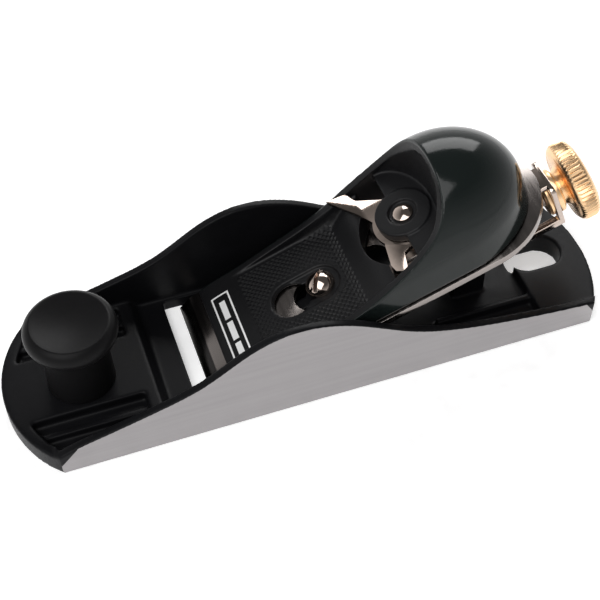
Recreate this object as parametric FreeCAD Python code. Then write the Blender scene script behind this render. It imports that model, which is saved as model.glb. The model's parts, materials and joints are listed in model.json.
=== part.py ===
import FreeCAD, Part
import math
import os

# A seven inch block plane, in millimetres. The toe points to -X, the heel to +X, and the sole lies on Z = 0
# with the origin under the middle of its length. What lies on the sloping bed is drawn in the bed frame:
# X runs up the bed from the cutting edge, Z stands square to the bed, and on_bed() puts it in place.

V = FreeCAD.Vector

# Body casting
LENGTH = 178.0
WIDTH = 50.8
WALL = 2.5
FLOOR = 3.6
TOE_CORNER_X = -78.0
HEEL_CORNER_X = 81.4
TOE_EDGE = 6.6
PLATEAU_HALF = 11.0
CHANNEL_FRONT_X = -85.0
CHANNEL_BACK_X = -51.0
RIDGE_INNER = 15.2
RIDGE_OUTER = 17.0
RIDGE_TOP = 5.4
RIB_BACK_X = -47.5
RIB_FOOT_X = -45.0
HEEL_STEP_X = 66.0
HEEL_TOP = 7.0
LEDGE_Y = 13.5
LEDGE_TOP = 6.2
WING = [(-79.6, 6.6), (-75.5, 8.5), (-65, 11.6), (-50, 15.8), (-37, 20.6), (-25, 28.2), (-12, 32.7),
        (0, 31.2), (12, 25.6), (24, 19.0), (38, 14.4), (58, 10.9), (80, 8.7), (91, 8.3)]
WINDOW_X = (65.4, 82.6)
WINDOW_HALF = 6.2
WINDOW_CORNER = 6.0

# Bed and mouth
BED_ANGLE = 21.0
EDGE_X = -33.0
MOUTH_FRONT_X = -37.6
MOUTH_HALF = 21.6
BED_LENGTH = 28.0
BED_LIP = 1.2
POST_X = (45.0, 55.0)
POST_HALF = 6.0
SEAT = (78.0, 90.0)
SEAT_HALF = 14.0
SEAT_THICK = 3.4
GUIDE_HALF = 4.2
GUIDE_DEPTH = 2.5

# Cutter
CUTTER_GAP = 0.02
CUTTER_THICK = 2.1
CUTTER_HALF = 20.65
CUTTER_END = 110.2
CUTTER_START = 0.3
BEVEL = 4.6
CUTTER_TOP = CUTTER_GAP + CUTTER_THICK
SLOT = (33.0, 64.0)
SLOT_HALF = 5.6
GROOVE_FIRST = 72.0
GROOVE_STEP = 3.0
GROOVE_COUNT = 8
GROOVE_HALF_LENGTH = 7.5
GROOVE_WIDTH = 1.4
GROOVE_DEPTH = 0.75

# Lever cap
CAP_FRONT = 8.0
CAP_HALF = 20.3
CAP_CENTRE = 82.5
CAP_STRETCH = 1.19
CAP_SHOULDER = 11.0
CAP_UNDER = 2.9
CAP_WALL = 2.4
PLATE_TOP = 4.6
PLATE_START = 19.3
OPENING = (62.0, 70.0)
OPENING_HALF = 17.0
OPENING_R = 14.4
SEAT_FLOOR = 14.8
SEAT_LENGTH = 11.3
SEAT_HALF_WIDTH = 17.4
SEAT_LEAN = 5.0
RIM = [(CAP_FRONT, 3.1), (12, 4.1), (18.6, 4.6), (34, 6.6), (46, 8.4), (55, 10.9), (62, 13.6), (70, 17.0),
       (79, 22.8), (83.5, 29.0), (85.6, 36.0)]
CREST = [(47.0, 4.6), (52.0, 5.3), (57.0, 8.4), (60.0, 10.0), (63.0, 10.4)]
RAMP = (40.0, 60.0)
RAMP_R = 8.0
BOSS_R = 8.1
BOSS_TOP = 15.5
SINK_R = 4.2
SINK_DEPTH = 0.9
PIVOT_X = 72.2
RIVET_R = 2.0
RIVET_HEAD_R = 2.9
KEYHOLE_X = 32.8
KEYHOLE_R = 5.6
KEYWAY_R = 3.3
RECESS_R = 6.1
RECESS_Z = 3.8
CAP_TRAVEL = 9.3

# Cap screw
SCREW_X = KEYHOLE_X + CAP_TRAVEL
SCREW_R = 3.0
SCREW_HEAD_R = 4.4
SCREW_HEAD_Z = 3.9
SCREW_BOSS_R = 6.0
SCREW_END = -12.0
THREAD_GAP = 0.05

# Cam lever and pressure spring
LEVER_TOP = 12.2
LEVER_THICK = 1.4
LEVER_R = 9.6
HUB_R = 5.0
SPRING = (64.0, 93.0)
SPRING_HALF = 6.0
SPRING_THICK = 0.6
SPRING_Z = CUTTER_TOP + 0.04
FOOT_Z = SPRING_Z + SPRING_THICK + 0.04
SPRING_RIVET_X = 88.5

# Depth adjuster
STUD_DROP = 8.8
STUD_R = 3.0
STUD = (71.0, 122.0)
STUD_BOSS_R = 6.2
STUD_BOSS = (76.0, 95.0)
LOCKNUT_AF = 10.0
SLIDE_START = 76.5
SLIDE_HALF = 4.0
SLIDE_TOP = -0.4
SLIDE_THICK = 1.8
YOKE = (111.7, 113.2)
YOKE_HALF = 6.9
YOKE_BOTTOM = -16.2
ARM_INNER = 4.8
ARM_START = 91.0
ARM_HEIGHT = 2.4
PAWL_X = GROOVE_FIRST + 4 * GROOVE_STEP
NUT_GROOVE_R = 4.2
NUT_FLANGE_R = 6.6
NUT_NECK_R = 5.0
NUT_R = 12.0
NUT_DISC = (117.2, 123.6)
KNURLS = 60
KNURL_DEPTH = 0.55

# Front knob
KNOB_X = -66.6
KNOB_TOP = 31.0
KNOB_R = 12.9
KNOB_WAIST_R = 9.3
KNOB_BASE_R = 9.6
KNOB_DISC_Z = 24.9
KNOB_DISH = 1.5
KNOB_STUD_R = 3.0
INSERT_R = 4.6
INSERT_TOP = 19.0

SIN = math.sin(math.radians(BED_ANGLE))
COS = math.cos(math.radians(BED_ANGLE))
BIG = 200.0


def box(x, y, z):
    """A block between the two ends given for each axis."""
    return Part.makeBox(x[1] - x[0], y[1] - y[0], z[1] - z[0], V(x[0], y[0], z[0]))


def rod_x(radius, x, y, z):
    return Part.makeCylinder(radius, x[1] - x[0], V(x[0], y, z), V(1, 0, 0))


def rod_z(radius, x, y, z):
    return Part.makeCylinder(radius, z[1] - z[0], V(x, y, z[0]), V(0, 0, 1))


def curve(points):
    """A smooth curve through points of the X-Z plane."""
    spline = Part.BSplineCurve()
    spline.interpolate([V(x, 0, z) for x, z in points])
    return spline.toShape()


def line(start, end):
    return Part.makeLine(V(start[0], 0, start[1]), V(end[0], 0, end[1]))


def slab(edges, half):
    """The closed X-Z outline made across Y, from -half to +half."""
    face = Part.Face(Part.Wire(Part.__sortEdges__(edges)))
    face.translate(V(0, -half, 0))
    return face.extrude(V(0, 2 * half, 0))


def polygon(points, half):
    edges = [line(a, b) for a, b in zip(points, points[1:] + points[:1])]
    return slab(edges, half)


def fuse(shapes):
    return shapes[0].multiFuse(shapes[1:]).removeSplitter()


def both_sides(shape):
    """The shape and its mirror image across the plane Y = 0."""
    return [shape, shape.mirror(V(0, 0, 0), V(0, 1, 0))]


def stadium(x, half, z):
    """A block with half-round ends centred on the two x values."""
    return fuse([box(x, (-half, half), z), rod_z(half, x[0], 0, z), rod_z(half, x[1], 0, z)])


def on_bed(shape):
    placed = shape.copy()
    turn = FreeCAD.Rotation(V(0, 1, 0), -BED_ANGLE)
    placed.Placement = FreeCAD.Placement(V(EDGE_X, 0, 0), turn).multiply(placed.Placement)
    return placed


def revolve(profile):
    """A solid turned about the X axis from a closed outline of (x, radius) corners."""
    wire = Part.makePolygon([V(x, 0, radius) for x, radius in profile + profile[:1]])
    return Part.Face(wire).revolve(V(0, 0, 0), V(1, 0, 0), 360)


# Body casting -------------------------------------------------------------------------------------

def plan(inset, z):
    """The sole's outline, drawn in by inset, between two heights."""
    half = WIDTH / 2 - inset
    toe, heel = -LENGTH / 2 + inset, LENGTH / 2 - inset
    corners = [V(TOE_CORNER_X, -half, z[0]), V(HEEL_CORNER_X, -half, z[0]),
               V(HEEL_CORNER_X, half, z[0]), V(TOE_CORNER_X, half, z[0])]
    edges = [Part.makeLine(corners[0], corners[1]),
             Part.Arc(corners[1], V(heel, 0, z[0]), corners[2]).toShape(),
             Part.makeLine(corners[2], corners[3]),
             Part.Arc(corners[3], V(toe, 0, z[0]), corners[0]).toShape()]
    return Part.Face(Part.Wire(edges)).extrude(V(0, 0, z[1] - z[0]))


def body_shell():
    """The whole casting's outside, with its wings, before anything is hollowed."""
    last = WING[-1]
    edges = [line((-91, 0), (-91, TOE_EDGE)), line((-91, TOE_EDGE), WING[0]), curve(WING),
             line(last, (last[0], 0)), line((last[0], 0), (-91, 0))]
    return plan(0, (0, 60)).common(slab(edges, WIDTH))


def toe_hollows():
    """The space over the plateau and the two channels beside it."""
    inner = WIDTH / 2 - WALL
    over = box((-95, CHANNEL_BACK_X), (-PLATEAU_HALF, PLATEAU_HALF), (TOE_EDGE, 60))
    over_side = polygon([(-80, TOE_EDGE + 2), (-77, TOE_EDGE), (RIB_BACK_X, TOE_EDGE), (RIB_BACK_X, 60),
                         (-80, 60)], inner)
    pocket = plan(4.0, (FLOOR, 60)).common(box((CHANNEL_FRONT_X, CHANNEL_BACK_X), (-inner, inner), (0, 60)))
    channels = []
    for y in ((PLATEAU_HALF, RIDGE_INNER), (RIDGE_OUTER, inner)):
        channels += both_sides(pocket.common(box((-95, 0), y, (FLOOR, 60))))
    over_ridge = box((-95, 0), (RIDGE_INNER - 0.1, RIDGE_OUTER + 0.1), (RIDGE_TOP, 60))
    channels += both_sides(pocket.common(over_ridge))
    return [over, over_side] + channels


def middle_hollows():
    """From the transverse rib back to the step of the heel, and over the heel."""
    inner = WIDTH / 2 - WALL
    middle = polygon([(RIB_BACK_X, TOE_EDGE), (RIB_FOOT_X, FLOOR), (HEEL_STEP_X, FLOOR), (HEEL_STEP_X, 60),
                      (RIB_BACK_X, 60)], inner)
    heel = box((HEEL_STEP_X - 0.1, 95), (-inner, inner), (HEEL_TOP, 60))
    return [middle, heel]


def below_bed(shape):
    """Keeps only what lies under the bed plane and above the sole."""
    under = on_bed(box((-BIG, BIG), (-BIG, BIG), (-BIG, 0)))
    return shape.common(under).common(box((-BIG, BIG), (-BIG, BIG), (FLOOR - 1, BIG)))


def bed():
    end_x = EDGE_X + BED_LENGTH * COS
    inner = WIDTH / 2 - WALL + 0.5
    wedge = box((EDGE_X, end_x), (-inner, inner), (0, 40))
    rails = both_sides(box((end_x - 1, 20), (inner - 2.6, inner), (0, 40)))
    web = box((end_x - 1, 8), (-2, 2), (0, 40))
    screw_boss = on_bed(rod_z(SCREW_BOSS_R, SCREW_X, 0, (-24, 0)))
    post = box(POST_X, (-POST_HALF, POST_HALF), (0, 60))
    return [below_bed(s) for s in [wedge, web, screw_boss, post] + rails]


def rear_seat():
    """The cross bar under the back of the cutter and the round boss that holds the stud."""
    bar = box(SEAT, (-SEAT_HALF, SEAT_HALF), (-SEAT_THICK, 0))
    boss = rod_x(STUD_BOSS_R, STUD_BOSS, 0, -STUD_DROP)
    return [on_bed(bar), on_bed(boss)]


def body_holes():
    mouth_back = EDGE_X + BED_LIP * COS
    lip_height = BED_LIP * SIN
    rise = FLOOR + 1
    mouth = polygon([(MOUTH_FRONT_X, -1), (MOUTH_FRONT_X, rise), (EDGE_X + rise * COS / SIN, rise),
                     (mouth_back, lip_height), (mouth_back, -1)], MOUTH_HALF)
    window = box(WINDOW_X, (-WINDOW_HALF, WINDOW_HALF), (-1, 20))
    window = window.makeFillet(WINDOW_CORNER, [e for e in window.Edges if e.Length > 20.5])
    screw = on_bed(rod_z(SCREW_R + THREAD_GAP, SCREW_X, 0, (SCREW_END - 1, 5)))
    stud = on_bed(rod_x(STUD_R, (STUD[0] - 5, STUD[1]), 0, -STUD_DROP))
    guide = on_bed(box((SEAT[0] - 6, SEAT[1] + 6), (-GUIDE_HALF, GUIDE_HALF), (-GUIDE_DEPTH, 5)))
    knob = rod_z(KNOB_STUD_R, KNOB_X, 0, (1.4, 20))
    return [mouth, window, screw, stud, guide, knob]


def ledges():
    """A low rib on each side of the heel hollow."""
    rib = box((36.0, HEEL_STEP_X + 1), (LEDGE_Y, LEDGE_Y + 2.0), (FLOOR - 1, LEDGE_TOP))
    return both_sides(rib)


def body():
    hollow = body_shell().cut(toe_hollows() + middle_hollows())
    whole = fuse([hollow] + bed() + rear_seat() + ledges())
    return whole.cut(body_holes()).removeSplitter()


# Front knob ---------------------------------------------------------------------------------------

def front_knob():
    """Waisted stem under a thick round disc with a dished top."""
    base, disc, top, rim = TOE_EDGE, KNOB_DISC_Z, KNOB_TOP, 2.2
    waist_z = base + 8
    edges = [line((0, base), (KNOB_BASE_R, base)),
             Part.Arc(V(KNOB_BASE_R, 0, base), V(KNOB_WAIST_R, 0, waist_z),
                      V(KNOB_BASE_R, 0, disc - 2)).toShape(),
             Part.Arc(V(KNOB_BASE_R, 0, disc - 2), V(KNOB_BASE_R + 0.9, 0, disc - 0.5),
                      V(KNOB_R - 1.6, 0, disc)).toShape(),
             Part.Arc(V(KNOB_R - 1.6, 0, disc), V(KNOB_R, 0, (disc + top) / 2 - 0.6),
                      V(KNOB_R - rim, 0, top)).toShape(),
             line((KNOB_R - rim, top), (0, top)),
             line((0, top), (0, base))]
    knob = Part.Face(Part.Wire(edges)).revolve(V(0, 0, 0), V(0, 0, 1), 360)
    knob.translate(V(KNOB_X, 0, 0))
    dish_r = ((KNOB_R - rim) ** 2 + KNOB_DISH ** 2) / (2 * KNOB_DISH)
    dish = Part.makeSphere(dish_r, V(KNOB_X, 0, top + dish_r - KNOB_DISH))
    return knob.cut([dish, rod_z(INSERT_R, KNOB_X, 0, (0, INSERT_TOP))])


def knob_insert():
    sleeve = rod_z(INSERT_R, KNOB_X, 0, (TOE_EDGE, INSERT_TOP))
    return sleeve.cut(rod_z(KNOB_STUD_R, KNOB_X, 0, (0, INSERT_TOP - 2)))


def knob_stud():
    return rod_z(KNOB_STUD_R, KNOB_X, 0, (1.4, INSERT_TOP - 2))


# Cutter -------------------------------------------------------------------------------------------

def cutter():
    centre = CUTTER_END - CUTTER_HALF
    z = (CUTTER_GAP, CUTTER_TOP)
    straight = box((CUTTER_START, centre), (-CUTTER_HALF, CUTTER_HALF), z)
    blade = fuse([straight, rod_z(CUTTER_HALF, centre, 0, z)])
    bevel = polygon([(CUTTER_START - 1, CUTTER_GAP + 0.08), (CUTTER_START, CUTTER_GAP + 0.08),
                     (CUTTER_START + BEVEL, CUTTER_TOP), (CUTTER_START + BEVEL, 9), (CUTTER_START - 1, 9)],
                    CUTTER_HALF + 1)
    slot = stadium((SLOT[0] + SLOT_HALF, SLOT[1] - SLOT_HALF), SLOT_HALF, (-1, 5))
    grooves = []
    for number in range(GROOVE_COUNT):
        x = GROOVE_FIRST + number * GROOVE_STEP
        grooves.append(box((x - GROOVE_WIDTH / 2, x + GROOVE_WIDTH / 2),
                           (-GROOVE_HALF_LENGTH, GROOVE_HALF_LENGTH), (-1, CUTTER_GAP + GROOVE_DEPTH)))
    return on_bed(blade.cut([bevel, slot] + grooves))


# Lever cap ----------------------------------------------------------------------------------------

def capsule(half, front, bottom=CAP_UNDER):
    """Upright sides up to the shoulder, then a half-round roof with an egg-shaped back."""
    reach = half * CAP_STRETCH
    low = box((front, CAP_CENTRE), (-half, half), (bottom, CAP_SHOULDER))
    oval = Part.Ellipse(V(CAP_CENTRE, 0, bottom), reach, half).toShape()
    low_back = Part.Face(Part.Wire(oval)).extrude(V(0, 0, CAP_SHOULDER - bottom))
    roof = rod_x(half, (front, CAP_CENTRE), 0, CAP_SHOULDER)
    middle = V(CAP_CENTRE, 0, CAP_SHOULDER)
    egg = Part.Ellipse(middle + V(reach, 0, 0), middle + V(0, 0, half), middle)
    profile = [Part.ArcOfEllipse(egg, 0, math.pi).toShape(),
               line((CAP_CENTRE - reach, CAP_SHOULDER), (CAP_CENTRE + reach, CAP_SHOULDER))]
    back = Part.Face(Part.Wire(profile)).revolve(middle, V(1, 0, 0), 360)
    whole = fuse([low, low_back, roof, back])
    return whole.common(box((front, BIG), (-BIG, BIG), (bottom, BIG)))


def over_rim():
    """All the space over the cap's slanting rim."""
    start, end = RIM[0], RIM[-1]
    corners = [end, (end[0], 60), (start[0] - 5, 60), (start[0] - 5, start[1]), start]
    edges = [curve(RIM)] + [line(a, b) for a, b in zip(corners, corners[1:])]
    return slab(edges, 40)


def over_plate():
    """The space over the finger plate, back to the opening."""
    deep = box((PLATE_START, OPENING[1]), (-BIG, BIG), (PLATE_TOP, BIG))
    return deep.common(capsule(CAP_HALF - CAP_WALL, 0))


def seat():
    """The thumb seat in front of the hood: a flat floor with an oval back wall that leans."""
    start = OPENING[1]
    oval = Part.Ellipse(V(0, 0, 0), SEAT_HALF_WIDTH, SEAT_LENGTH).toShape()
    oval.rotate(V(0, 0, 0), V(0, 0, 1), 90)
    oval.translate(V(start, 0, SEAT_FLOOR))
    corners = [V(x, y, SEAT_FLOOR) for x, y in ((start - 20, -SEAT_HALF_WIDTH), (start, -SEAT_HALF_WIDTH),
                                                (start, SEAT_HALF_WIDTH), (start - 20, SEAT_HALF_WIDTH))]
    lean = V(SEAT_LEAN, 0, 25)
    back = Part.Face(Part.Wire(oval)).extrude(lean)
    front = Part.Face(Part.makePolygon(corners + corners[:1])).extrude(lean)
    return fuse([back, front]).common(capsule(CAP_HALF - CAP_WALL, 0, 0))


def under_hood():
    """The hollow between the cutter and the seat, open downwards."""
    half = CAP_HALF - CAP_WALL
    wall = CAP_WALL * 1.3
    seat_back = OPENING[1] + SEAT_LENGTH + wall
    ceiling = SEAT_FLOOR - CAP_WALL
    corners = [(OPENING[0], 0), (OPENING[0], PLATE_TOP + 0.6), (OPENING[1], PLATE_TOP + 0.6),
               (OPENING[1], ceiling), (seat_back, ceiling), (seat_back + SEAT_LEAN, 33), (110, 33), (110, 0)]
    return polygon(corners, 40).common(capsule(half, 0, 0))


def corner_ramps():
    """Hollow-rounded corners that grow between the finger plate and the side walls, up to the opening."""
    wall, reach = CAP_HALF - CAP_WALL, RAMP_R
    start, end = RAMP
    size = 0.05
    outlines = []
    for x, r in ((start, size), (end, reach)):
        corners = [V(x, wall + 0.5, PLATE_TOP - 0.5), V(x, wall - r, PLATE_TOP - 0.5),
                   V(x, wall - r, PLATE_TOP + r), V(x, wall + 0.5, PLATE_TOP + r)]
        outlines.append(Part.makePolygon(corners + corners[:1]))
    block = Part.makeLoft(outlines, True, True)
    axis_start, axis_end = V(start, wall - size, PLATE_TOP + size), V(end, wall - reach, PLATE_TOP + reach)
    axis = axis_end - axis_start
    beyond = 1.3
    hollow = Part.makeCone(size, size + (reach - size) * beyond, axis.Length * beyond, axis_start, axis)
    return both_sides(block.cut(hollow))


def crest():
    """The smooth rise across the finger plate's back end."""
    first, last = CREST[0], CREST[-1]
    foot_first, foot_last = (first[0], CAP_UNDER), (last[0], CAP_UNDER)
    edges = [curve(CREST), line(last, foot_last), line(foot_last, foot_first), line(foot_first, first)]
    return slab(edges, CAP_HALF - CAP_WALL + 0.5)


def lever_space():
    """The space that the lever's arms swing in, in front of the boss and open to the cutter."""
    reach = box((0, OPENING[1]), (-OPENING_HALF, OPENING_HALF), (0, 40))
    swing = rod_z(OPENING_R, PIVOT_X, 0, (0, 40)).common(reach)
    straight = box(OPENING, (-OPENING_HALF, OPENING_HALF), (0, 40))
    return fuse([swing, straight]).cut(rod_z(BOSS_R, PIVOT_X, 0, (SEAT_FLOOR - CAP_WALL, 40)))


def cap_boss():
    """The round boss over the cam lever's rivet."""
    return rod_z(BOSS_R, PIVOT_X, 0, (SEAT_FLOOR - CAP_WALL, BOSS_TOP))


def cap_holes():
    key = rod_z(KEYHOLE_R, KEYHOLE_X, 0, (0, 20))
    keyway = stadium((KEYHOLE_X, SCREW_X), KEYWAY_R, (0, 20))
    recess = stadium((KEYHOLE_X, SCREW_X), RECESS_R, (RECESS_Z, 20))
    pivot = rod_z(RIVET_R, PIVOT_X, 0, (5, 30))
    sink = rod_z(SINK_R, PIVOT_X, 0, (BOSS_TOP - SINK_DEPTH, 30))
    rivet = rod_z(1.5, SPRING_RIVET_X, 0, (0, CAP_UNDER + 4))
    return [lever_space(), key, keyway, recess, pivot, sink, rivet]


def lever_cap():
    shell = capsule(CAP_HALF, CAP_FRONT).cut([over_rim(), over_plate(), seat(), under_hood()])
    lip_z = CUTTER_TOP + 0.03
    chin = polygon([(CAP_FRONT, lip_z), (CAP_FRONT + 2.2, lip_z), (CAP_FRONT + 4, CAP_UNDER + 0.2),
                    (CAP_FRONT, CAP_UNDER + 0.2)], CAP_HALF)
    pad = box((SPRING_RIVET_X - 3.5, SPRING_RIVET_X + 3.5), (-6, 6), (SPRING_Z + SPRING_THICK, 27))
    pad = pad.common(capsule(CAP_HALF - 1, 0, 0))
    solid = fuse([shell, chin, pad, cap_boss(), crest()] + corner_ramps())
    return on_bed(solid.cut(cap_holes()).removeSplitter())


def cam_rivet():
    """The headed pin that the cam lever turns on: a domed head in the boss and a flat one under the lever."""
    ball_r = 6.0
    head_z = BOSS_TOP - SINK_DEPTH
    head = rod_z(RIVET_HEAD_R, PIVOT_X, 0, (head_z, head_z + 0.5))
    ball = Part.makeSphere(ball_r, V(PIVOT_X, 0, head_z + 0.5 - math.sqrt(ball_r ** 2 - RIVET_HEAD_R ** 2)))
    dome = ball.common(box((0, 99), (-9, 9), (head_z + 0.5, 30)))
    shank = rod_z(RIVET_R, PIVOT_X, 0, (FOOT_Z + 0.6, head_z))
    return on_bed(fuse([head, dome, shank]))


def pressure_spring():
    leaf = box(SPRING, (-SPRING_HALF, SPRING_HALF), (SPRING_Z, SPRING_Z + SPRING_THICK))
    return on_bed(leaf.cut(rod_z(1.5, SPRING_RIVET_X, 0, (0, 9))))


def spring_rivet():
    return on_bed(rod_z(1.5, SPRING_RIVET_X, 0, (SPRING_Z, CAP_UNDER + 4)))


# Cam lever ----------------------------------------------------------------------------------------

def facet(corners, slope=0.0):
    """A flat piece of the pressed lever, climbing by slope away from the fold at its first two corners."""
    (x0, y0), (x1, y1) = corners[:2]
    length = math.hypot(x1 - x0, y1 - y0)
    points = []
    for x, y in corners:
        reach = abs((x1 - x0) * (y - y0) - (y1 - y0) * (x - x0)) / length
        points.append(V(x, y, LEVER_TOP - LEVER_THICK + slope * reach))
    face = Part.Face(Part.makePolygon(points + points[:1]))
    return face.extrude(V(0, 0, LEVER_THICK))


def cam_lever():
    """A pressed lever on a round hub. Its long arm is pushed across to let the cap go."""
    plate = rod_z(LEVER_R, PIVOT_X, 0, (LEVER_TOP - LEVER_THICK, LEVER_TOP))
    hub = rod_z(HUB_R, PIVOT_X, 0, (FOOT_Z, LEVER_TOP))
    long_fold = [(62.2, 14.3), (61.1, 9.2)]
    short_fold = [(63.6, -5.2), (67.4, -10.6)]
    arms = [facet(long_fold + [(64.2, 3.0), (70.0, 9.4)]),
            facet(long_fold + [(54.6, 16.4), (60.4, 17.5)], 0.42),
            facet(short_fold + [(70.5, -9.2), (64.4, -3.0)]),
            facet(short_fold + [(66.0, -15.2), (62.2, -12.2)], -0.55)]
    lever = fuse([plate, hub] + arms)
    return on_bed(lever.cut(rod_z(RIVET_R + THREAD_GAP, PIVOT_X, 0, (0, 30))))


# Cap screw ----------------------------------------------------------------------------------------

def cap_screw():
    """Domed, slotted head on a short neck."""
    ball_r = 4.9
    flat = SCREW_HEAD_Z + 0.8
    shank = rod_z(SCREW_R, SCREW_X, 0, (SCREW_END, flat))
    head = rod_z(SCREW_HEAD_R, SCREW_X, 0, (SCREW_HEAD_Z, flat))
    ball = Part.makeSphere(ball_r, V(SCREW_X, 0, flat - math.sqrt(ball_r ** 2 - SCREW_HEAD_R ** 2)))
    dome = ball.common(box((0, 90), (-20, 20), (flat, 30)))
    slot = box((SCREW_X - 9, SCREW_X + 9), (-0.6, 0.6), (flat + 1.0, 30))
    slot.rotate(V(SCREW_X, 0, 0), V(0, 0, 1), 55)
    return on_bed(fuse([shank, head, dome]).cut(slot))


# Depth adjuster -----------------------------------------------------------------------------------

def adjusting_stud():
    return on_bed(rod_x(STUD_R, STUD, 0, -STUD_DROP))


def stud_locknut():
    length = 3.8
    start = STUD_BOSS[0] - length
    points = []
    for corner in range(6):
        turn = math.radians(60 * corner + 30)
        reach = LOCKNUT_AF / 2 / math.cos(math.radians(30))
        points.append(V(start, reach * math.cos(turn), reach * math.sin(turn) - STUD_DROP))
    hexagon = Part.Face(Part.makePolygon(points + points[:1])).extrude(V(length, 0, 0))
    return on_bed(hexagon.cut(rod_x(STUD_R, (0, 150), 0, -STUD_DROP)))


def adjusting_slide():
    """A strip under the cutter, bent down into a yoke, with an arm along each side of the post."""
    z = (SLIDE_TOP - SLIDE_THICK, SLIDE_TOP)
    strip = box((SLIDE_START, YOKE[1]), (-SLIDE_HALF, SLIDE_HALF), z)
    plate = box(YOKE, (-YOKE_HALF, YOKE_HALF), (YOKE_BOTTOM, SLIDE_TOP))
    plate = plate.makeFillet(2.0, [e for e in plate.Edges if abs(e.Length - (YOKE[1] - YOKE[0])) < 0.01])
    arm_z = (YOKE_BOTTOM, YOKE_BOTTOM + ARM_HEIGHT)
    arms = both_sides(box((ARM_START, YOKE[1]), (ARM_INNER, YOKE_HALF), arm_z))
    notch = fuse([rod_x(NUT_GROOVE_R + 0.1, (100, 120), 0, -STUD_DROP),
                  box((100, 120), (-NUT_GROOVE_R - 0.1, NUT_GROOVE_R + 0.1), (-30, -STUD_DROP))])
    return on_bed(fuse([strip, plate] + arms).cut(notch))


def slide_pawl():
    """The nib on the strip that stands in one of the cutter's cross grooves."""
    top = CUTTER_GAP + GROOVE_DEPTH - 0.1
    return on_bed(box((PAWL_X - 0.6, PAWL_X + 0.6), (-3.4, 3.4), (SLIDE_TOP, top)))


def knurled_disc():
    points = []
    for tooth in range(2 * KNURLS):
        turn = math.pi * tooth / KNURLS
        reach = NUT_R if tooth % 2 == 0 else NUT_R - KNURL_DEPTH
        points.append(V(NUT_DISC[0] - 1, reach * math.cos(turn), reach * math.sin(turn)))
    star = Part.Face(Part.makePolygon(points + points[:1])).extrude(V(NUT_DISC[1] - NUT_DISC[0] + 2, 0, 0))
    low, high = NUT_DISC
    outline = [(low, 0), (low, NUT_R - 1.8), (low + 0.6, NUT_R - 0.7), (low + 1.8, NUT_R),
               (high - 1.8, NUT_R), (high - 0.6, NUT_R - 0.7), (high, NUT_R - 1.8), (high, 0)]
    barrel = revolve(outline)
    return star.common(barrel)


def adjusting_nut():
    flange = NUT_FLANGE_R
    yoke_gap = 0.1
    groove = (YOKE[0] - yoke_gap, YOKE[1] + yoke_gap)
    hub = revolve([(groove[0] - 1.3, 0), (groove[0] - 1.3, flange - 0.8), (groove[0] - 0.8, flange - 0.3),
                   (groove[0], flange - 0.3), (groove[0], NUT_GROOVE_R), (groove[1], NUT_GROOVE_R),
                   (groove[1], flange), (groove[1] + 1.4, flange), (groove[1] + 2.0, flange - 1),
                   (groove[1] + 2.0, NUT_NECK_R), (NUT_DISC[0] - 0.8, NUT_NECK_R + 0.5),
                   (NUT_DISC[0] + 1, NUT_NECK_R + 2.5), (NUT_DISC[0] + 1, 0)])
    nut = fuse([hub, knurled_disc()])
    nut = nut.cut(rod_x(STUD_R + THREAD_GAP, (90, 150), 0, 0))
    nut.translate(V(0, 0, -STUD_DROP))
    return on_bed(nut)


PARTS = [body, front_knob, knob_insert, knob_stud, cutter, lever_cap, cam_rivet, pressure_spring,
         spring_rivet, cam_lever, cap_screw, adjusting_stud, stud_locknut, adjusting_slide, slide_pawl,
         adjusting_nut]

os.makedirs("parts", exist_ok=True)
for make in PARTS:
    shape = make()
    solids = shape.Solids
    print(make.__name__, "solids", len(solids), "valid", shape.isValid(), "volume", round(shape.Volume, 1))
    shape.exportStep("parts/" + make.__name__ + ".step")
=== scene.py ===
import json
import math

import bmesh
import bpy
import numpy as np
from mathutils import Matrix, Vector
from mathutils.bvhtree import BVHTree


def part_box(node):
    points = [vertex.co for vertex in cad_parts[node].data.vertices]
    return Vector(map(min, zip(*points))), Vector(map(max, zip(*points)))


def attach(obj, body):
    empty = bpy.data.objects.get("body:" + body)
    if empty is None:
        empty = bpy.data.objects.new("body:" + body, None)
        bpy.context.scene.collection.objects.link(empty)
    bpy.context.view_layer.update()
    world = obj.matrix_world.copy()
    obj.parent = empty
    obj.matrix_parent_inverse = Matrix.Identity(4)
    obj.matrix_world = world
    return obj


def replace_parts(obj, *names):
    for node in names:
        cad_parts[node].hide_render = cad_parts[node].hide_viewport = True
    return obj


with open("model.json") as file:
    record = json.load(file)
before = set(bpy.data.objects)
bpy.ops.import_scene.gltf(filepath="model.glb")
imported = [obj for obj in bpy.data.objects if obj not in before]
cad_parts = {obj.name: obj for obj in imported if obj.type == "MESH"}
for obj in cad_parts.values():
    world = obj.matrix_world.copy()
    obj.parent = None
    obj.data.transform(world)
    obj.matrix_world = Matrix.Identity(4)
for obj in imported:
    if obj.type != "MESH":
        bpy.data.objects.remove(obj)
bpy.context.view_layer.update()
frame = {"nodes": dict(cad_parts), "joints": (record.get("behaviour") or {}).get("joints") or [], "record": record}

# A block plane. Lengths are in metres; mm turns drawing sizes into metres. The bed frame has X up the bed
# from the cutting edge, Y across and Z square to the bed, and BED puts what is drawn in it in place.

mm = 0.001
joints = {joint["name"]: joint for joint in frame["joints"]}
nodes = frame["nodes"]
body_of = {node: body for body, members in frame["record"]["behaviour"]["bodies"].items() for node in members}

SCREW_FROM_EDGE = 42.1 * mm
up_bed = Vector(joints["cap_slide"]["axis"])
off_bed = Vector(joints["screw_turn"]["axis"])
screw_foot = Vector(joints["screw_turn"]["pos_m"])
edge = screw_foot - up_bed * SCREW_FROM_EDGE
BED = Matrix.Translation(edge) @ Matrix((
    (up_bed.x, 0, off_bed.x, 0),
    (0, 1, 0, 0),
    (up_bed.z, 0, off_bed.z, 0),
    (0, 0, 0, 1)))

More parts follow.
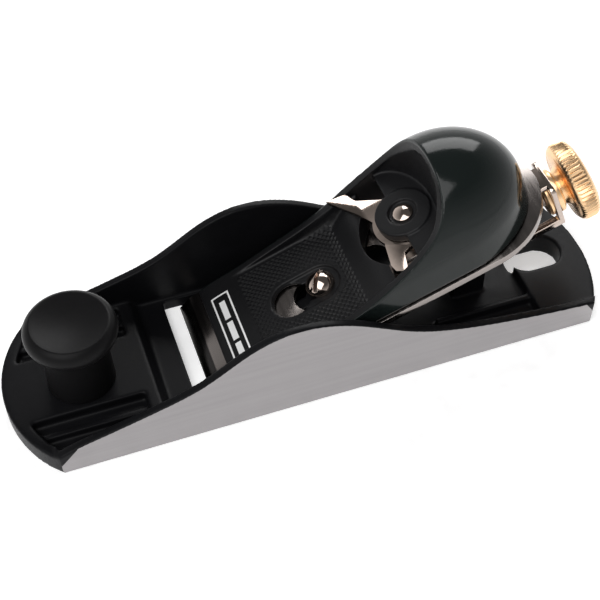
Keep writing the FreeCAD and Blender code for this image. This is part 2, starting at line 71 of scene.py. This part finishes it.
CAMERA_AZIMUTH = -18.63
CAMERA_ELEVATION = 49.51
CAMERA_ROLL = -0.75
CAMERA_DISTANCE = 0.3583
CAMERA_AIM = Vector((0.0010, 0.0069, 0.0058))
CAMERA_LENS = 72.2

GRIP_X = (20.2 * mm, 53.5 * mm)
GRIP_HALF = 17.2 * mm
GRIP_PITCH = 0.90 * mm
GRIP_HEIGHT = 0.36 * mm
GRIP_MARGIN = 0.8 * mm
GRIP_VALLEY = 0.02 * mm
GRIP_RIM_SUNK = 0.05 * mm
GRIP_DEPTH = 0.5 * mm
KEYHOLE = (32.8 * mm, 42.1 * mm)
KEYHOLE_R = 6.1 * mm
LABEL_X = (10.7 * mm, 16.6 * mm)
LABEL_HALF = 14.2 * mm
LABEL_LINE = 0.55 * mm
LABEL_INSET = 2.0 * mm
LABEL_BLOCKS = ((-11.5 * mm, -4.6 * mm), (-3.4 * mm, 3.4 * mm), (4.6 * mm, 11.5 * mm))
PRINT_STEP = 0.8 * mm
PRINT_RISE = 0.05 * mm
PRINT_DEPTH = 0.3 * mm
THREAD_PITCH = 1.0 * mm
THREAD_DEPTH = 0.35 * mm
THREAD_SECTORS = 32
RINGS_PER_TURN = 8
SIDE_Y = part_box("body")[1].y
CAP_STRETCH = 1.19
BEVEL_END = (4.3 * mm, 4.7 * mm)

# The ground sides end along a sloping line at each end of the body, which passes through this corner.
TOE_CORNER_X = 78.0 * mm
TOE_CORNER_Z = 3.5 * mm
TOE_END_SLOPE = 1.1
HEEL_CORNER_X = 81.4 * mm
HEEL_CORNER_Z = 5.0 * mm
HEEL_END_SLOPE = 1.4
SIDE_REACH = 0.12 * mm
SOLE_REACH = 0.08 * mm

BODY_VOXEL = 0.45 * mm
BODY_ROUNDS = 4
CAP_VOXEL = 0.3 * mm
CAP_ROUNDS = 5
WELD = 0.002 * mm
FLAT_ANGLE = 0.3
EDGE_ANGLE = 35

FLOOR_REACH = 2.5
FLOOR_GLOW = 0.40
KEY_POWER = 7.6
BACK_POWER = 6.6

GROUND_METAL = (0.35, 0.335, 0.34)
BODY_ENAMEL = (0.005, 0.005, 0.0058)
DULL_ENAMEL = (0.005, 0.005, 0.0058)
CUTTER_STEEL = (0.31, 0.28, 0.265)
# The bevel colour below is painted shade: the cutter's bevel faces away from the light and is drawn darker than
# the flat.
BEVEL_PAINTED_SHADE = (0.05, 0.047, 0.046)
GLOSS_ENAMEL = (0.008, 0.011, 0.0105)


# Meshes -------------------------------------------------------------------------------------------

def link(obj):
    bpy.context.scene.collection.objects.link(obj)
    return obj


def bed_box(node):
    """The lowest and highest corner of a CAD node, measured in the bed frame."""
    to_bed = BED.inverted()
    corners = np.array([to_bed @ vertex.co for vertex in nodes[node].data.vertices])
    return Vector(corners.min(0)), Vector(corners.max(0))


def finish_piece(obj, node, look, smooth_angle=None):
    """Gives the piece its material, its shading and the body of the CAD node that it belongs to."""
    obj.data.materials.clear()
    obj.data.materials.append(look)
    if smooth_angle is None:
        obj.data.shade_smooth()
    else:
        shade_by_angle(obj, smooth_angle)
    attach(obj, body_of[node])


def shade_by_angle(obj, angle):
    """Smooth shading, with the edges that turn by more than angle kept sharp."""
    shape = bmesh.new()
    shape.from_mesh(obj.data)
    for face in shape.faces:
        face.smooth = True
    for ridge in shape.edges:
        ridge.smooth = len(ridge.link_faces) == 2 and ridge.calc_face_angle(0) < math.radians(angle)
    shape.to_mesh(obj.data)
    shape.free()


def copy_of(name, node):
    """A copy of a CAD node's mesh, welded, with the edges inside its flat faces taken out."""
    obj = link(bpy.data.objects.new(name, nodes[node].data.copy()))
    shape = bmesh.new()
    shape.from_mesh(obj.data)
    bmesh.ops.remove_doubles(shape, verts=shape.verts, dist=WELD)
    bmesh.ops.dissolve_limit(shape, angle_limit=math.radians(FLAT_ANGLE), verts=shape.verts,
                            edges=shape.edges)
    shape.to_mesh(obj.data)
    shape.free()
    return obj


def apply_modifiers(obj):
    """Replaces the object's mesh with what its modifiers make of it."""
    shaped = obj.evaluated_get(bpy.context.evaluated_depsgraph_get())
    mesh = bpy.data.meshes.new_from_object(shaped)
    obj.modifiers.clear()
    obj.data = mesh


def edged(name, node, width, look):
    """A CAD node with its sharp edges broken by a small round."""
    obj = copy_of(name, node)
    bevel = obj.modifiers.new("bevel", "BEVEL")
    bevel.width = width
    bevel.segments = 2
    bevel.limit_method = "ANGLE"
    bevel.angle_limit = math.radians(EDGE_ANGLE)
    bevel.use_clamp_overlap = True
    apply_modifiers(obj)
    finish_piece(obj, node, look, EDGE_ANGLE)
    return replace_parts(obj, node)


def casting(name, node, voxel, rounds, look):
    """A CAD node with the soft edges and filled corners of a casting."""
    obj = copy_of(name, node)
    remesh = obj.modifiers.new("remesh", "REMESH")
    remesh.mode = "VOXEL"
    remesh.voxel_size = voxel
    smooth = obj.modifiers.new("smooth", "SMOOTH")
    smooth.factor = 0.5
    smooth.iterations = rounds
    apply_modifiers(obj)
    finish_piece(obj, node, look)
    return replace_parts(obj, node)


def flatten(obj, axis, level, reach):
    """Vertices within reach of a ground face are moved onto it."""
    count = len(obj.data.vertices)
    places = np.empty(count * 3)
    obj.data.vertices.foreach_get("co", places)
    places = places.reshape(-1, 3)
    near = np.abs(places[:, axis] - level) < reach
    places[near, axis] = level
    obj.data.vertices.foreach_set("co", places.reshape(-1))


def mesh_object(name, points, faces):
    mesh = bpy.data.meshes.new(name)
    mesh.from_pydata(points, [], faces)
    mesh.validate()
    return link(bpy.data.objects.new(name, mesh))


def slab_from(name, tops, triangles, depth):
    """A closed slab: a top of triangles over bed-frame points, and the same shape depth below it."""
    count = len(tops)
    directed = {(face[k], face[(k + 1) % 3]) for face in triangles for k in range(3)}
    sides = [(b, a, a + count, b + count) for a, b in directed if (b, a) not in directed]
    floor = [tuple(corner + count for corner in reversed(face)) for face in triangles]
    points = [BED @ Vector(top) for top in tops]
    points += [point - off_bed * depth for point in points]
    return mesh_object(name, points, list(triangles) + sides + floor)


def surface_of(obj):
    """A function that gives the height over the bed of the object's upper side at a place on the bed."""
    tree = BVHTree.FromObject(obj, bpy.context.evaluated_depsgraph_get())
    to_bed = BED.inverted()

    def height(x, y):
        hit = tree.ray_cast(BED @ Vector((x, y, 40 * mm)), -off_bed)[0]
        return (to_bed @ hit).z
    return height


# Materials ----------------------------------------------------------------------------------------

def new_material(name):
    material = bpy.data.materials.new(name)
    material.use_nodes = True
    return material, material.node_tree, material.node_tree.nodes["Principled BSDF"]


def add(tree, kind, sockets=None, **settings):
    """Adds a shader node and returns its first output, or a Mix node's colour. sockets gives its inputs,
    each a plain value or another node's output."""
    node = tree.nodes.new("ShaderNode" + kind)
    for key, value in settings.items():
        setattr(node, key, value)
    for key, value in (sockets or {}).items():
        if isinstance(value, bpy.types.NodeSocket):
            tree.links.new(value, node.inputs[key])
        else:
            node.inputs[key].default_value = value
    return node.outputs[0] if kind != "Mix" else node.outputs[2]


def object_place(tree):
    return tree.nodes.new("ShaderNodeTexCoord").outputs["Object"]


def bed_place(tree):
    """Where a point lies in the bed frame."""
    to_bed = BED.inverted()
    return add(tree, "Mapping", {"Vector": object_place(tree), "Location": to_bed.translation,
                                 "Rotation": to_bed.to_euler()})


def noise(tree, scale, stretch=(1, 1, 1), detail=3.0):
    where = add(tree, "Mapping", {"Vector": object_place(tree), "Scale": stretch})
    return add(tree, "TexNoise", {"Vector": where, "Scale": scale, "Detail": detail})


def ramp(tree, value, source, target):
    """Maps the range source of the value onto the range target, and holds it at the ends."""
    return add(tree, "MapRange", {"Value": value, "From Min": source[0], "From Max": source[1],
                                  "To Min": target[0], "To Max": target[1]})


def spread(tree, value, low, high):
    """Stretches a noise, which stays near its middle, over the range from low to high."""
    return ramp(tree, value, (0.3, 0.7), (low, high))


def blend(tree, factor, first, second):
    return add(tree, "Mix", {0: factor, 6: first, 7: second}, data_type="RGBA")


def maths(tree, operation, *values):
    return add(tree, "Math", dict(enumerate(values)), operation=operation)


def shades(colour, low, high):
    return [(*(part * share for part in colour), 1) for share in (low, high)]


def relief(tree, shader, height, distance):
    normal = add(tree, "Bump", {"Height": height, "Distance": distance, "Strength": 1.0})
    tree.links.new(normal, shader.inputs["Normal"])


def metal(name, colour, roughness, stretch=(1, 1, 1), scale=900, depth=0.004 * mm):
    """Bare or plated metal with a fine grain, drawn out where the tool marks run one way."""
    material, tree, shader = new_material(name)
    grain = noise(tree, scale, stretch)
    cloud = noise(tree, 90)
    tone = blend(tree, grain, *shades(colour, 0.90, 1.08))
    tree.links.new(tone, shader.inputs["Base Color"])
    tree.links.new(spread(tree, cloud, roughness * 0.8, roughness * 1.25), shader.inputs["Roughness"])
    shader.inputs["Metallic"].default_value = 1.0
    relief(tree, shader, grain, depth)
    return material


def cutter_look():
    """Ground steel with marks across the blade. The bevel at the cutting edge is painted darker, as painted shade
    where it turns away from the light.
    """
    material, tree, shader = new_material("ground_cutter")
    x = add(tree, "SeparateXYZ", {"Vector": bed_place(tree)})
    # From the cutting edge up to BEVEL_END the blade takes the darker bevel colour, which is painted shade.
    bevel = ramp(tree, x, BEVEL_END, (1.0, 0.0))
    marks = noise(tree, 800, (1, 0.04, 1))
    flat = blend(tree, marks, *shades(CUTTER_STEEL, 0.90, 1.08))
    bevel_painted_shade = blend(tree, marks, *shades(BEVEL_PAINTED_SHADE, 0.8, 1.2))
    tree.links.new(blend(tree, bevel, flat, bevel_painted_shade), shader.inputs["Base Color"])
    tree.links.new(spread(tree, marks, 0.14, 0.26), shader.inputs["Roughness"])
    shader.inputs["Metallic"].default_value = 1.0
    relief(tree, shader, marks, 0.006 * mm)
    return material


def plastic(name, colour, roughness, depth, specular=0.5):
    material, tree, shader = new_material(name)
    shader.inputs["Specular IOR Level"].default_value = specular
    grain = noise(tree, 2600)
    tone = blend(tree, noise(tree, 160), *shades(colour, 0.85, 1.2))
    tree.links.new(tone, shader.inputs["Base Color"])
    tree.links.new(spread(tree, grain, roughness * 0.85, roughness * 1.15), shader.inputs["Roughness"])
    relief(tree, shader, grain, depth)
    return material


def body_look():
    """Black enamel inside, and ground metal on the sole and both sides, up to rounded ends."""
    material, tree, shader = new_material("enamelled_casting")
    shader.inputs["Specular IOR Level"].default_value = 0.10
    x, y, z = add(tree, "SeparateXYZ", {"Vector": object_place(tree)}).node.outputs
    side = maths(tree, "GREATER_THAN", maths(tree, "ABSOLUTE", y), SIDE_Y - SIDE_REACH)
    toe_height = TOE_CORNER_Z + TOE_END_SLOPE * TOE_CORNER_X
    toe_end = maths(tree, "MULTIPLY_ADD", x, TOE_END_SLOPE, toe_height)
    heel_height = HEEL_CORNER_Z + HEEL_END_SLOPE * HEEL_CORNER_X
    heel_end = maths(tree, "MULTIPLY_ADD", x, -HEEL_END_SLOPE, heel_height)
    below = maths(tree, "LESS_THAN", z, maths(tree, "MINIMUM", toe_end, heel_end))
    sole = maths(tree, "LESS_THAN", z, SOLE_REACH)
    ground = maths(tree, "MAXIMUM", maths(tree, "MULTIPLY", side, below), sole)
    lines = noise(tree, 700, (0.035, 1, 1), 5.0)
    peel = noise(tree, 1500)
    steel = blend(tree, lines, *shades(GROUND_METAL, 0.84, 1.12))
    enamel = blend(tree, noise(tree, 130), *shades(BODY_ENAMEL, 0.75, 1.3))
    tree.links.new(blend(tree, ground, enamel, steel), shader.inputs["Base Color"])
    rough_steel = spread(tree, lines, 0.30, 0.42)
    rough_enamel = spread(tree, peel, 0.30, 0.44)
    rough = add(tree, "Mix", {0: ground, 2: rough_enamel, 3: rough_steel}).node.outputs[0]
    tree.links.new(rough, shader.inputs["Roughness"])
    tree.links.new(ground, shader.inputs["Metallic"])
    relief(tree, shader, add(tree, "Mix", {0: ground, 2: peel, 3: lines}).node.outputs[0], 0.012 * mm)
    return material


def cap_look():
    """Gloss enamel over the outside of the hood and a dull one in its hollows and on the finger plate."""
    material, tree, shader = new_material("cap_enamel")
    shader.inputs["Specular IOR Level"].default_value = 0.25
    high = bed_box("lever_cap")[1]
    half = high.y
    middle = Vector((high.x - half * CAP_STRETCH, 0, high.z - half))
    beyond = add(tree, "VectorMath", {0: bed_place(tree), 1: (middle.x, -1, middle.z)}, operation="MAXIMUM")
    beyond = add(tree, "VectorMath", {0: beyond, 1: middle}, operation="SUBTRACT")
    beyond = add(tree, "VectorMath", {0: beyond, 1: (1 / CAP_STRETCH, 1, 1)}, operation="MULTIPLY")
    reach = add(tree, "VectorMath", {0: beyond}, operation="LENGTH").node.outputs["Value"]
    gloss = ramp(tree, reach, (half - 0.7 * mm, half - 0.4 * mm), (0.0, 1.0))
    fine = noise(tree, 2400)
    dull = blend(tree, noise(tree, 170), *shades(DULL_ENAMEL, 0.8, 1.25))
    bright = blend(tree, noise(tree, 60), *shades(GLOSS_ENAMEL, 0.92, 1.08))
    tree.links.new(blend(tree, gloss, dull, bright), shader.inputs["Base Color"])
    rough = add(tree, "Mix", {0: gloss, 2: spread(tree, fine, 0.36, 0.52), 3: 0.13}).node.outputs[0]
    tree.links.new(rough, shader.inputs["Roughness"])
    grain = maths(tree, "MULTIPLY", fine, maths(tree, "SUBTRACT", 1.0, gloss))
    relief(tree, shader, grain, 0.010 * mm)
    return material


# Pieces -------------------------------------------------------------------------------------------

def finger_grip(cap, look):
    """Rows of small pyramids on the finger plate, with room left round the keyhole."""
    height = surface_of(cap)
    across = int(GRIP_HALF / GRIP_PITCH)
    along = int((GRIP_X[1] - GRIP_X[0]) / GRIP_PITCH)

    def kept(i, j):
        x = GRIP_X[0] + (i + 0.5) * GRIP_PITCH
        y = (j + 0.5) * GRIP_PITCH
        inside = 0 <= i < along and -across <= j < across
        nearest = min(max(x, KEYHOLE[0]), KEYHOLE[1])
        return inside and math.hypot(x - nearest, y) > KEYHOLE_R + GRIP_MARGIN

    cells = [(i, j) for i in range(along) for j in range(-across, across) if kept(i, j)]
    places = sorted({(i + a, j + b) for i, j in cells for a in (0, 1) for b in (0, 1)})
    order = {corner: number for number, corner in enumerate(places)}
    tops = []
    for i, j in places:
        x = GRIP_X[0] + i * GRIP_PITCH
        y = j * GRIP_PITCH
        whole = all(kept(i - a, j - b) for a in (0, 1) for b in (0, 1))
        rise = GRIP_HEIGHT if (i + j) % 2 == 0 else GRIP_VALLEY
        tops.append((x, y, height(x, y) + (rise if whole else -GRIP_RIM_SUNK)))
    triangles = []
    for i, j in cells:
        a, b, c, d = (order[corner] for corner in ((i, j), (i + 1, j), (i + 1, j + 1), (i, j + 1)))
        triangles += [(a, b, d), (b, c, d)] if (i + j) % 2 == 0 else [(a, b, c), (a, c, d)]
    piece = slab_from("finger_grip", tops, triangles, GRIP_DEPTH)
    finish_piece(piece, "lever_cap", look)
    shade_by_angle(piece, 10)


def print_strip(height, x, y):
    """The top of one printed stroke, as points and triangles over the surface under it."""
    columns = max(1, round((x[1] - x[0]) / PRINT_STEP))
    rows = max(1, round((y[1] - y[0]) / PRINT_STEP))
    points = []
    for i in range(columns + 1):
        for j in range(rows + 1):
            px = x[0] + (x[1] - x[0]) * i / columns
            py = y[0] + (y[1] - y[0]) * j / rows
            points.append((px, py, height(px, py) + PRINT_RISE))
    triangles = []
    for i in range(columns):
        for j in range(rows):
            a = i * (rows + 1) + j
            triangles += [(a, a + rows + 1, a + 1), (a + 1, a + rows + 1, a + rows + 2)]
    return points, triangles


def printed_panel(cap, look):
    """A plain printed outline with three plain blocks in it, on the cap's front land."""
    height = surface_of(cap)
    x0, x1 = LABEL_X
    line = LABEL_LINE
    half = LABEL_HALF
    strokes = [((x0, x0 + line), (-half, half)),
               ((x1 - line, x1), (-half, half)),
               ((x0 + line, x1 - line), (-half, -half + line)),
               ((x0 + line, x1 - line), (half - line, half))]
    strokes += [((x0 + LABEL_INSET, x1 - LABEL_INSET), block) for block in LABEL_BLOCKS]
    tops, triangles = [], []
    for x, y in strokes:
        points, faces = print_strip(height, x, y)
        triangles += [tuple(corner + len(tops) for corner in face) for face in faces]
        tops += points
    piece = slab_from("printed_panel", tops, triangles, PRINT_DEPTH)
    finish_piece(piece, "lever_cap", look, 30)


def threaded_stud(look):
    """The depth stud, with a real thread over its whole length."""
    low, high = bed_box("adjusting_stud")
    radius = (high.y - low.y) / 2
    centre = (high.z + low.z) / 2
    sectors = THREAD_SECTORS
    step = THREAD_PITCH / RINGS_PER_TURN
    rings = int((high.x - low.x) / step)
    points = []
    for ring in range(rings + 1):
        for sector in range(sectors):
            turn = sector / sectors
            phase = (ring * step / THREAD_PITCH - turn) % 1.0
            reach = radius - THREAD_DEPTH * abs(2 * phase - 1)
            if ring in (0, rings):
                reach = radius - THREAD_DEPTH
            angle = 2 * math.pi * turn
            points.append(BED @ Vector((low.x + (high.x - low.x) * ring / rings, reach * math.cos(angle),
                                        centre + reach * math.sin(angle))))
    faces = []
    for ring in range(rings):
        for sector in range(sectors):
            a = ring * sectors + sector
            b = ring * sectors + (sector + 1) % sectors
            faces.append((a, a + sectors, b + sectors, b))
    faces += [tuple(range(sectors)), tuple(reversed(range(rings * sectors, (rings + 1) * sectors)))]
    piece = mesh_object("threaded_stud", points, faces)
    finish_piece(piece, "adjusting_stud", look, 60)
    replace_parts(piece, "adjusting_stud")


# Scene --------------------------------------------------------------------------------------------

def place_camera():
    azimuth = math.radians(CAMERA_AZIMUTH)
    elevation = math.radians(CAMERA_ELEVATION)
    back = Vector((math.sin(azimuth) * math.cos(elevation), -math.cos(azimuth) * math.cos(elevation),
                   math.sin(elevation)))
    right = Vector((math.cos(azimuth), math.sin(azimuth), 0))
    up = back.cross(right)
    turn = Matrix((right, up, back)).transposed().to_4x4()
    camera = link(bpy.data.objects.new("camera", bpy.data.cameras.new("camera")))
    camera.data.lens = CAMERA_LENS
    camera.data.sensor_width = 36.0
    camera.data.clip_start = 0.01
    camera.matrix_world = (Matrix.Translation(CAMERA_AIM + back * CAMERA_DISTANCE) @ turn
                           @ Matrix.Rotation(math.radians(CAMERA_ROLL), 4, "Z"))
    bpy.context.scene.camera = camera


def area_light(name, spot, aim, size, power):
    light = bpy.data.lights.new(name, "AREA")
    light.shape = "RECTANGLE"
    light.size, light.size_y = size
    light.energy = power
    obj = link(bpy.data.objects.new(name, light))
    obj.location = spot
    obj.rotation_euler = (Vector(aim) - Vector(spot)).to_track_quat("-Z", "Y").to_euler()


def studio():
    corners = [(FLOOR_REACH * x, FLOOR_REACH * y, 0) for x, y in ((-1, -1), (1, -1), (1, 1), (-1, 1))]
    floor = mesh_object("floor", corners, [(0, 1, 2, 3)])
    pale = plastic("floor", (0.85, 0.85, 0.85), 0.9, 0.0)
    glow = pale.node_tree.nodes["Principled BSDF"]
    glow.inputs["Emission Color"].default_value = (1, 1, 1, 1)
    glow.inputs["Emission Strength"].default_value = FLOOR_GLOW
    floor.data.materials.append(pale)
    world = bpy.data.worlds.new("studio")
    bpy.context.scene.world = world
    world.use_nodes = True
    sky = world.node_tree
    direction = sky.nodes.new("ShaderNodeTexCoord").outputs["Generated"]
    height = add(sky, "SeparateXYZ", {0: direction}).node.outputs["Z"]
    sky.links.new(ramp(sky, height, (0.0, 0.8), (1.0, 0.10)), sky.nodes["Background"].inputs["Strength"])
    sky.nodes["Background"].inputs["Color"].default_value = (1, 1, 1, 1)
    area_light("key", (-0.45, -0.35, 0.9), (0, 0, 0), (0.9, 0.9), KEY_POWER)
    area_light("back", (0.4, 0.8, 0.7), (0.02, 0, 0.02), (0.9, 0.5), BACK_POWER)
    bpy.context.scene.view_settings.view_transform = "Standard"


def materials():
    """One material for each CAD node."""
    nickel = metal("nickel", (0.53, 0.44, 0.385), 0.10)
    steel = metal("steel", (0.60, 0.58, 0.56), 0.28)
    brass = metal("brass", (0.94, 0.63, 0.36), 0.26)
    return {
        "body": body_look(),
        "front_knob": plastic("knob_plastic", (0.006, 0.0058, 0.0062), 0.38, 0.010 * mm, 0.09),
        "knob_insert": brass,
        "knob_stud": steel,
        "cutter": cutter_look(),
        "lever_cap": cap_look(),
        "cam_rivet": nickel,
        "pressure_spring": steel,
        "spring_rivet": steel,
        "cam_lever": nickel,
        "cap_screw": nickel,
        "adjusting_stud": metal("dark_steel", (0.45, 0.40, 0.37), 0.32),
        "stud_locknut": steel,
        "adjusting_slide": nickel,
        "slide_pawl": steel,
        "adjusting_nut": brass,
    }


place_camera()
studio()
looks = materials()
for node, look in looks.items():
    nodes[node].data.materials.clear()
    nodes[node].data.materials.append(look)

body = casting("body_casting", "body", BODY_VOXEL, BODY_ROUNDS, looks["body"])
flatten(body, 2, 0.0, SIDE_REACH)
flatten(body, 1, SIDE_Y, SIDE_REACH)
flatten(body, 1, -SIDE_Y, SIDE_REACH)
cap = casting("cap_casting", "lever_cap", CAP_VOXEL, CAP_ROUNDS, looks["lever_cap"])
finger_grip(cap, looks["lever_cap"])
printed_panel(cap, plastic("white_print", (0.82, 0.82, 0.82), 0.55, 0.004 * mm))
threaded_stud(looks["adjusting_stud"])

# The name of the piece, its CAD node and the width of its broken edges in millimetres.
rounded = (
    ("turned_knob", "front_knob", 0.25),
    ("blade", "cutter", 0.12),
    ("pressed_lever", "cam_lever", 0.25),
    ("domed_rivet", "cam_rivet", 0.08),
    ("slotted_screw", "cap_screw", 0.12),
    ("hex_locknut", "stud_locknut", 0.25),
    ("yoke_slide", "adjusting_slide", 0.2),
    ("knurled_nut", "adjusting_nut", 0.03))
for name, node, width in rounded:
    edged(name, node, width * mm, looks[node])
